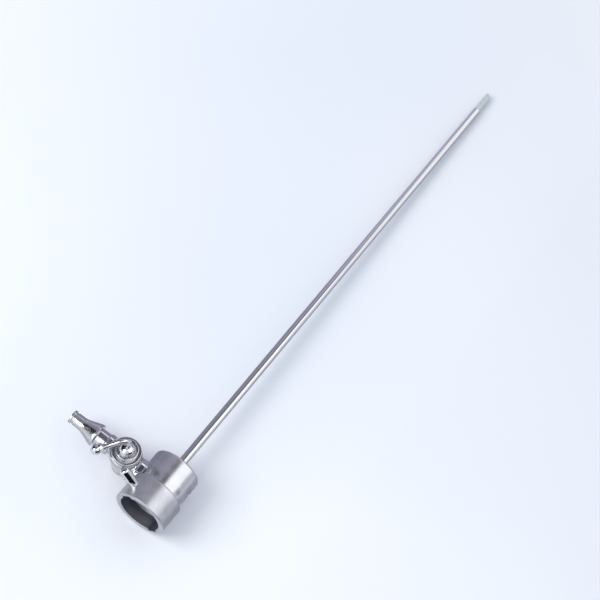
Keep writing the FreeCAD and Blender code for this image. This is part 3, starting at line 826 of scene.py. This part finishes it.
nut = turned("nozzle_nut_turned", "y", [
    (NUT_START, NOZZLE_ARM_RADIUS),
    (NUT_START, NUT_RADIUS, 0.35),
    (NUT_END, NUT_RADIUS, 0.35),
    (NUT_END, NECK_RADIUS),
    (NUT_END - NUT_LIP, NECK_RADIUS),
    (NUT_END - NUT_LIP, FOOT_RADIUS),
    (NOZZLE_ARM_END, FOOT_RADIUS),
    (NOZZLE_ARM_END, NOZZLE_ARM_RADIUS),
], at=PLUG_AXIS)
dress(nut, body_steel, "polished_body_steel", "sheath", "nozzle_nut")

# %% Nozzle and its seal
SEAL_GAP = 0.4
FLARE_START = 13.3
FLARE_RADIUS = 4.9
FLARE_RIM = 0.9
CONE_END = 20.4
WAIST_RADIUS = 2.7
FULL_NECK_RADIUS = 3.7
TIP_LIP = 0.95
TIP_GROOVE = 0.85
TIP_GROOVE_DEPTH = 0.3
TIP_RADIUS = 2.85
NOZZLE_END = 26.2
NOZZLE_BORE_RADIUS = 2.2

tip_groove_start = NOZZLE_END - TIP_LIP - TIP_GROOVE
nozzle = turned("hose_nozzle_turned", "y", [
    (NOZZLE_ARM_END + SEAL_GAP, FLOW_RADIUS),
    (NOZZLE_ARM_END + SEAL_GAP, FOOT_RADIUS),
    (NUT_END - NUT_LIP, FOOT_RADIUS),
    (NUT_END - NUT_LIP, NECK_RADIUS),
    (NUT_END + 0.1, NECK_RADIUS),
    (NUT_END + 0.1, FULL_NECK_RADIUS, 0.15),
    (FLARE_START - 0.3, FULL_NECK_RADIUS, 0.1),
    (FLARE_START - 0.1, FULL_NECK_RADIUS - 0.25),
    (FLARE_START, FULL_NECK_RADIUS - 0.2),
    (FLARE_START, FLARE_RADIUS, 0.25),
    (FLARE_START + FLARE_RIM, FLARE_RADIUS, 0.6),
    (CONE_END, WAIST_RADIUS, 1.6),
    (tip_groove_start, WAIST_RADIUS, 0.08),
    (tip_groove_start + 0.1, WAIST_RADIUS - TIP_GROOVE_DEPTH, 0.08),
    (NOZZLE_END - TIP_LIP - 0.05, WAIST_RADIUS - TIP_GROOVE_DEPTH, 0.08),
    (NOZZLE_END - TIP_LIP, TIP_RADIUS, 0.12),
    (NOZZLE_END, TIP_RADIUS, 0.15),
    (NOZZLE_END, NOZZLE_BORE_RADIUS, 0.12),
    (CONE_END, NOZZLE_BORE_RADIUS),
    (FLARE_START, FLOW_RADIUS),
], at=PLUG_AXIS)
dress(nozzle, body_steel, "polished_body_steel", "sheath", "hose_nozzle")
coat_node("nozzle_seal", ptfe)

# %% [markdown]
# ## Plug head
# The plug turns inside the barrel. Its head is a plate with a turned groove near the edge and a
# round dome in the middle, out of which the lever rises. One profile could hold both, but the
# solids keep plate and dome apart, so two pieces stand for them. The plate's lower edge is cut
# back, which leaves a dark line between it and the barrel.

# %% Cap
HEAD_START = 6.1
CAP_RADIUS = 4.55
CAP_HEIGHT = 1.7
CAP_GROOVE_RADIUS = 3.75
CAP_GROOVE_WIDTH = 0.36
CAP_GROOVE_DEPTH = 0.5
CAP_CUT_BACK = 0.35
LEVER_RADIUS = 0.95

boss_start = HEAD_START + CAP_HEIGHT
groove_floor = boss_start - CAP_GROOVE_DEPTH
cap = turned("plug_cap_turned", "z", [
    (HEAD_START, 0),
    (HEAD_START, CAP_RADIUS - CAP_CUT_BACK),
    (HEAD_START + CAP_CUT_BACK, CAP_RADIUS, 0.15),
    (boss_start, CAP_RADIUS, 0.35),
    (boss_start, CAP_GROOVE_RADIUS + CAP_GROOVE_WIDTH, 0.06),
    (groove_floor, CAP_GROOVE_RADIUS + CAP_GROOVE_WIDTH - 0.05),
    (groove_floor, CAP_GROOVE_RADIUS + 0.05),
    (boss_start, CAP_GROOVE_RADIUS, 0.06),
    (boss_start, 0),
], at=PLUG_AXIS)
dress(cap, mirror_steel, "mirror_steel", "plug", "plug_cap")

# %% Dome
BOSS_RADIUS = 3.35
BOSS_HEIGHT = 2.5
DOME_STEPS = 18

dome_radius = (BOSS_RADIUS ** 2 + BOSS_HEIGHT ** 2) / (2 * BOSS_HEIGHT)
dome_centre = boss_start + BOSS_HEIGHT - dome_radius
foot_angle = math.asin((boss_start - dome_centre) / dome_radius)
top_angle = math.acos(LEVER_RADIUS / dome_radius)
dome_profile = [(boss_start - 0.1, LEVER_RADIUS), (boss_start - 0.1, BOSS_RADIUS)]
for step in range(DOME_STEPS + 1):
    angle = foot_angle + (top_angle - foot_angle) * step / DOME_STEPS
    height = dome_centre + dome_radius * math.sin(angle)
    dome_profile.append((height, dome_radius * math.cos(angle)))
dome = turned("lever_boss_turned", "z", dome_profile, at=PLUG_AXIS)
dress(dome, mirror_steel, "mirror_steel", "plug", "lever_boss")

# %% [markdown]
# ## Lever
# The lever is a thin rod that rises from the dome, bends over and runs out to a turned grip with a
# ball. Its thickness changes all the way, so a curve with a round bevel isn't enough. Circles are
# set along its centre line instead, each with its own radius, and skinned. The centre line is two
# arcs and a straight run, worked out in the plane of the lever, and that plane is turned about the
# plug's axis to the angle at which the photograph shows it.

# %% Centre line of the lever
LEVER_TURN = 50.0
LEVER_TOP = 17.3
BEND_RADIUS = 3.2
LEVER_FALL = 33.0
SWEEP_RADIUS = 35.0
GRIP_FALL = 24.0


def lever_line():
    """Stations of (out, up, slope in degrees, radius) from the dome to the grip's start."""
    stations = [(0.0, boss_start, 90.0, LEVER_RADIUS)]
    bend_height = LEVER_TOP - BEND_RADIUS
    for slope in range(90, -int(LEVER_FALL) - 1, -4):
        angle = math.radians(slope)
        out = BEND_RADIUS * (1 - math.sin(angle))
        stations.append((out, bend_height + BEND_RADIUS * math.cos(angle), slope, LEVER_RADIUS))
    out, up = stations[-1][:2]
    fall = math.radians(stations[-1][2])
    centre = (out - SWEEP_RADIUS * math.sin(fall), up + SWEEP_RADIUS * math.cos(fall))
    for slope in range(int(stations[-1][2]) + 2, -int(GRIP_FALL) + 1, 2):
        angle = math.radians(slope)
        out = centre[0] + SWEEP_RADIUS * math.sin(angle)
        up = centre[1] - SWEEP_RADIUS * math.cos(angle)
        stations.append((out, up, slope, LEVER_RADIUS))
    return stations


line = lever_line()
print(len(line), "stations, the grip starts at", [round(v, 2) for v in line[-1][:2]], "mm")

# %% Grip and ball at the end of the lever
GRIP_RADIUS = 2.0
GRIP_LENGTH = 3.3
GRIP_NECK_RADIUS = 1.6
BALL_RADIUS = 2.1
BALL_PLACE = 5.3
BALL_STEPS = 14


def add_grip(stations):
    """Run on along the last slope with a swelling grip, a neck and a ball."""
    out, up, slope = stations[-1][:3]
    angle = math.radians(slope)
    neck_end = BALL_PLACE - math.sqrt(BALL_RADIUS ** 2 - GRIP_NECK_RADIUS ** 2)
    run = [(GRIP_LENGTH * 0.35, 1.06), (GRIP_LENGTH * 0.7, 1.25), (GRIP_LENGTH * 0.93, GRIP_RADIUS)]
    run += [(GRIP_LENGTH + 0.12, GRIP_RADIUS - 0.08), (GRIP_LENGTH + 0.3, 1.15)]
    run += [(GRIP_LENGTH + 0.45, GRIP_NECK_RADIUS)]
    start = math.acos((BALL_PLACE - neck_end) / BALL_RADIUS)
    for step in range(BALL_STEPS + 1):
        swing = start + (math.pi - start) * step / BALL_STEPS
        run.append((BALL_PLACE - BALL_RADIUS * math.cos(swing), BALL_RADIUS * math.sin(swing)))
    for along, radius in run:
        place = (out + along * math.cos(angle), up + along * math.sin(angle))
        stations.append((*place, slope, max(radius, 0.0)))
    return stations


line = add_grip(line)
print(len(line), "stations with the grip and the ball")

# %% Skin the lever
def skinned(name, stations, sideways, outward, segments=48):
    """Skin circles over stations in the plane of outward and Z."""
    mesh = bmesh.new()
    rings = []
    upward = Vector((0, 0, 1))
    for out, up, slope, radius in stations:
        angle = math.radians(slope)
        normal = outward * -math.sin(angle) + upward * math.cos(angle)
        middle = Vector(PLUG_AXIS) + outward * out + upward * up
        ring = []
        for step in range(segments if radius > POLE_RADIUS else 1):
            swing = 2 * math.pi * step / segments
            reach = normal * math.cos(swing) + sideways * math.sin(swing)
            ring.append(mesh.verts.new((middle + reach * radius) * MM))
        rings.append(ring)
    for first, second in zip(rings, rings[1:]):
        join_rings(mesh, first, second)
    mesh.faces.new(rings[0])
    return as_piece(name, mesh)


lever_turn = math.radians(LEVER_TURN)
outward = Vector((-math.sin(lever_turn), math.cos(lever_turn), 0))
sideways = Vector((math.cos(lever_turn), math.sin(lever_turn), 0))
lever = skinned("lever_polished", line, sideways, outward)
dress(lever, mirror_steel, "mirror_steel", "plug", "lever_arm", "lever_knob")

# %% [markdown]
# ## Underneath: washer, spring and nut
# A plastic washer, a dished spring and a round nut pull the plug into its taper from below. They
# show only from the side and from underneath, and get the same soft edges as the rest.

# %% Spring pack
WASHER_TOP = -7.1
SPRING_TOP = -7.6
NUT_TOP = -8.45
SHANK_RADIUS = 1.6
WASHER_RADIUS = 4.0
SPRING_RADIUS = 3.6
SPRING_DISH = 0.5
SPRING_SHEET = 0.35
NUT_CAP_RADIUS = 3.9
NUT_CAP_HEIGHT = 2.05

washer = turned("thrust_washer_turned", "z", [
    (WASHER_TOP, SHANK_RADIUS),
    (WASHER_TOP, WASHER_RADIUS, 0.1),
    (SPRING_TOP, WASHER_RADIUS, 0.1),
    (SPRING_TOP, SHANK_RADIUS),
], at=PLUG_AXIS)
dress(washer, ptfe, "seal_ptfe", "plug", "thrust_washer")
spring = turned("plug_spring_pressed", "z", [
    (SPRING_TOP - SPRING_DISH, SHANK_RADIUS),
    (SPRING_TOP, SPRING_RADIUS, 0.08),
    (SPRING_TOP - SPRING_SHEET, SPRING_RADIUS, 0.08),
    (NUT_TOP, SHANK_RADIUS),
], at=PLUG_AXIS)
dress(spring, mirror_steel, "mirror_steel", "plug", "plug_spring")
cap_nut = turned("retaining_nut_turned", "z", [
    (NUT_TOP, SHANK_RADIUS),
    (NUT_TOP, NUT_CAP_RADIUS, 0.2),
    (NUT_TOP - NUT_CAP_HEIGHT, NUT_CAP_RADIUS, 0.7),
    (NUT_TOP - NUT_CAP_HEIGHT, 0),
    (NUT_TOP - NUT_CAP_HEIGHT / 2, 0),
    (NUT_TOP - NUT_CAP_HEIGHT / 2, SHANK_RADIUS),
], at=PLUG_AXIS)
dress(cap_nut, body_steel, "polished_body_steel", "plug", "retaining_nut")
coat_node("tapered_plug", mirror_steel)

# %% [markdown]
# ## Floor
# The instrument lies on a pale board. It rests on the collar's rim at one end and on the beak's tip
# at the other, so the board is tilted by the small angle between those two points. The colour of
# the board drifts a little at random over wide patches, as seamless paper does.

# %% Pale board under the instrument
FLOOR_HALF = 1500.0
floor_tilt = math.atan2(COLLAR_RADIUS - BEAK_RADIUS, SHEATH_LENGTH)


def board_height(x):
    """Height of the board's surface at a place along X."""
    return -COLLAR_RADIUS + x * math.tan(floor_tilt)


floor_mesh = bpy.data.meshes.new("pale_board")
corner_points = []
for across, along in ((-1, -1), (1, -1), (1, 1), (-1, 1)):
    x, y = across * FLOOR_HALF, along * FLOOR_HALF
    corner_points.append((x * MM, y * MM, board_height(x) * MM))
floor_mesh.from_pydata(corner_points, [], [(0, 1, 2, 3)])
floor = linked("pale_board", floor_mesh)
print("board tilted by", round(math.degrees(floor_tilt), 2), "degrees")

# %% Finish: pale seamless paper
DRIFT_MM = 260.0

paper, tree, shader, place = start_finish("Pale seamless paper", 0.0, 0.85, "F0F3FB")
drift = tool_lines(tree, place, (DRIFT_MM, DRIFT_MM, DRIFT_MM), 1.0)
tint(tree, shader, drift, "E9EEF8", "F5F8FD", 0.35, 0.65)
floor_mesh.materials.append(paper)
print(paper.name, "with a drift of", DRIFT_MM, "mm")

# %% [markdown]
# ## Light
# Three kinds of light source are at hand: lamps, glowing meshes and the world. The world is the
# easiest way to a plain level, at which a colour renders about as it is written. Diffuse surfaces
# get that level. The camera and all reflections see the pale backdrop instead, so steel shows the
# same background that the picture has.

# %% The room as a world
room = bpy.data.worlds.new("Pale room")
bpy.context.scene.world = room
room.use_nodes = True
tree = room.node_tree
tree.nodes.clear()
ROOM_LIGHT = 0.76

path = add(tree, "ShaderNodeLightPath")
seen_or_metal = add(tree, "ShaderNodeMath", {
    0: path.outputs["Is Camera Ray"], 1: path.outputs["Is Glossy Ray"],
}, operation="MAXIMUM").outputs[0]
background = add(tree, "ShaderNodeMath", {
    0: seen_or_metal, 1: path.outputs["Is Transmission Ray"],
}, operation="MAXIMUM").outputs[0]
lit = add(tree, "ShaderNodeBackground", {"Color": colour("F1F6FF"), "Strength": ROOM_LIGHT})
seen = add(tree, "ShaderNodeBackground", {"Color": colour("EDF1FA"), "Strength": 1.0})
mixed = add(tree, "ShaderNodeMixShader", {0: background, 1: lit.outputs[0], 2: seen.outputs[0]})
add(tree, "ShaderNodeOutputWorld", {"Surface": mixed.outputs[0]})
print("room light", ROOM_LIGHT)

# %% [markdown]
# One lamp does the rest: a softbox high on the stopcock's side and a little behind the mouth. It
# throws the soft shadow that falls beyond the hub, away from the stopcock. Its size against its
# distance sets how soft.

# %% Softbox
LAMP_DISTANCE = 900.0
LAMP_SIZE = 520.0
LAMP_WATTS = 4.5
TOWARDS_LAMP = Vector((-0.42, 0.58, 0.70)).normalized()

lamp = bpy.data.lights.new("Softbox", "AREA")
lamp.size = LAMP_SIZE * MM
lamp.energy = LAMP_WATTS
lamp.color = colour("FFFCF6")[:3]
fixture = linked("Softbox", lamp)
fixture.location = TOWARDS_LAMP * LAMP_DISTANCE * MM
fixture.rotation_mode = "QUATERNION"
fixture.rotation_quaternion = TOWARDS_LAMP.to_track_quat("Z", "Y")
print("softbox at", [round(v * 1000) for v in fixture.location], "mm,", LAMP_WATTS, "W")

# %% [markdown]
# Polished steel has almost no look of its own: it shows what stands round it. A product
# photographer therefore sets cards round chrome, just out of the picture. White ones overhead and
# behind the camera put a bright band along the hub and the tube, and a dark strip under the
# overhead one gives that band a crisp border. Grey ones on both sides and past the tip keep the
# edges from melting into the background. Black ones draw the dark stripe down the pin and the dark
# spots in the ball. They are seen only in reflections, so they neither show nor shade the board.

# %% Cards for the reflections
CARD_LIFT = 0.4


def card(name, rows, paint):
    """A card through rows of two points each, in mm, seen only in reflections."""
    mesh = bpy.data.meshes.new(name)
    points = [[value * MM for value in point] for row in rows for point in row]
    faces = [(2 * i, 2 * i + 1, 2 * i + 3, 2 * i + 2) for i in range(len(rows) - 1)]
    mesh.from_pydata(points, [], faces)
    mesh.materials.append(paint)
    sheet = linked(name, mesh)
    sheet.visible_camera = False
    sheet.visible_diffuse = False
    sheet.visible_shadow = False
    sheet.visible_transmission = False
    print(name, "of", len(faces), "panels, painted", paint.name)


def flat_card(name, near, far, paint):
    """A card that lies just above the board, between two corners, each an (x, y)."""
    heights = [board_height(x) + CARD_LIFT for x in (near[0], far[0])]
    rows = [((near[0], y, heights[0]), (far[0], y, heights[1])) for y in (near[1], far[1])]
    card(name, rows, paint)


def upright_card(name, start, end, low, high, paint):
    """A card that stands between two places, each an (x, y), from a low to a high level."""
    card(name, [((*start, z), (*end, z)) for z in (low, high)], paint)


print("cards lie", CARD_LIFT, "mm above the board")

# %% [markdown]
# A card's paint is a plain glow, so it looks the same from every side. The photograph goes soft and
# pale towards the tip. The tip mirrors what stands far along X, so dark paints get brighter there
# and the white one duller.

# %% Paints for the cards
def card_paint(name, code, strength, far=None):
    """An even glow. With far, a (from, to, strength), it changes along X between two places."""
    paint = bpy.data.materials.new(name)
    paint.use_nodes = True
    tree = paint.node_tree
    tree.nodes.clear()
    glow = add(tree, "ShaderNodeEmission", {"Color": colour(code), "Strength": strength})
    if far:
        place = add(tree, "ShaderNodeTexCoord").outputs["Object"]
        along = add(tree, "ShaderNodeSeparateXYZ", {"Vector": place}).outputs["X"]
        level = ranged(tree, along, far[0] * MM, far[1] * MM, strength, far[2])
        tree.links.new(level, glow.inputs["Strength"])
    add(tree, "ShaderNodeOutputMaterial", {"Surface": glow.outputs[0]})
    return paint


GREY = "9A9AAC"
white = card_paint("White card", "FFFFFF", 1.8, (640, 800, 1.35))
pale = card_paint("Pale card", "D8DAE2", 1.0)
middle = card_paint("Middle grey shadow card", "B2B4C0", 1.0)
grey = card_paint("Grey card", GREY, 1.0)
grey_board = card_paint("Grey card on the board", GREY, 1.0, (90, 270, 1.8))
grey_wall = card_paint("Grey card upright", GREY, 1.0, (360, 520, 1.8))
grey_slope = card_paint("Grey card sloping", GREY, 1.0, (490, 650, 1.8))
dark = card_paint("Dark grey card", "50505C", 1.0, (620, 780, 3.5))
black = card_paint("Black card", "1C1C20", 1.0)
print("nine paints, from", black.name, "to", white.name)

# %% White and pale cards
CARD_HEIGHT = 900.0
START_X = -320.0
END_X = 1600.0
SIDE_Y = 430.0
FAR_SIDE_Y = -1000.0

card("white_card", [
    ((START_X, SIDE_Y, CARD_HEIGHT + 5), (END_X, SIDE_Y, CARD_HEIGHT + 5)),
    ((START_X, FAR_SIDE_Y, CARD_HEIGHT + 5), (END_X, FAR_SIDE_Y, CARD_HEIGHT + 5)),
    ((START_X, FAR_SIDE_Y, 480.0), (END_X, FAR_SIDE_Y, 480.0)),
], white)
card("white_card_near", [
    ((-1500.0, -60.0, 250.0), (-1500.0, 700.0, 250.0)),
    ((START_X - 2, -60.0, CARD_HEIGHT), (START_X - 2, 700.0, CARD_HEIGHT)),
], white)
upright_card("low_card", (START_X, FAR_SIDE_Y), (700.0, FAR_SIDE_Y), -20.0, 479.0, pale)

# %% Grey and dark cards
WALL_TOP = 650.0

flat_card("side_card", (24.0, 9.0), (1000.0, SIDE_Y), grey_board)
# This pale grey card beside the barrel stands for the barrel's shadow on the board in reflections:
# painted shadow.
flat_card("barrel_shadow_card", (-10.0, 12.0), (24.0, 60.0), pale)
card("side_card_high", [
    ((START_X, SIDE_Y, -10.0), (END_X, SIDE_Y, 40.0)),
    ((START_X, SIDE_Y, WALL_TOP), (END_X, SIDE_Y, WALL_TOP)),
], grey_wall)
card("side_card_slope", [
    ((START_X, 190.0, 759.0), (START_X, SIDE_Y, WALL_TOP)),
    ((740.0, 190.0, 759.0), (740.0, SIDE_Y, WALL_TOP)),
    ((820.0, 300.0, 709.0), (820.0, SIDE_Y, WALL_TOP)),
    ((END_X, 330.0, 695.0), (END_X, SIDE_Y, WALL_TOP)),
], grey_slope)
card("dark_card", [
    ((START_X, -122.0, CARD_HEIGHT), (START_X, 190.0, 759.0)),
    ((690.0, -122.0, CARD_HEIGHT), (690.0, 190.0, 759.0)),
    ((740.0, 60.0, 818.0), (740.0, 190.0, 759.0)),
    ((820.0, 290.0, 713.0), (820.0, 300.0, 709.0)),
], dark)
upright_card("black_card_high", (-300.0, 400.0), (110.0, 400.0), 60.0, 640.0, black)
upright_card("end_card", (950.0, -500.0), (950.0, SIDE_Y), board_height(950), 520.0, grey)
# This middle grey card lies where the instrument's shadow falls on the board and shows it in
# reflections: painted shadow.
flat_card("edge_shadow_card", (4.0, -4.0), (320.0, -62.0), middle)
card("black_card", [
    ((-70.0, -16.0, board_height(-70) + CARD_LIFT), (-14.0, -80.0, board_height(-14) + CARD_LIFT)),
    ((-600.0, -270.0, board_height(-600) + CARD_LIFT), (120.0, -700.0, board_height(120) + CARD_LIFT)),
    ((-600.0, -270.0, 320.0), (120.0, -700.0, 320.0)),
], black)

# %% [markdown]
# ## Camera
# The photograph was taken from above and behind the hub with a short telephoto lens. Its place was
# worked out from the ellipse of the rim, the length of the tube and the side pieces, so it is given
# as a point, a line of sight and an up direction in the object's own axes.

# %% Camera
EYE = (-191.2, -53.5, 521.3)
SIGHT = Vector((0.5094, 0.0976, -0.855))
UPWARD = Vector((0.6568, 0.5979, 0.4596))
LENS_MM = 85.82

back = -SIGHT.normalized()
right = UPWARD.cross(back).normalized()
upright = back.cross(right)
lens = bpy.data.cameras.new("Photograph")
lens.lens = LENS_MM
lens.sensor_width = 36.0
lens.clip_start = 0.01
camera = linked("Photograph", lens)
facing = Matrix((right, upright, back)).transposed()
camera.matrix_world = Matrix.Translation(Vector(EYE) * MM) @ facing.to_4x4()
bpy.context.scene.camera = camera
bpy.context.scene.view_settings.view_transform = "Standard"
print("camera at", EYE, "mm, lens", LENS_MM, "mm")
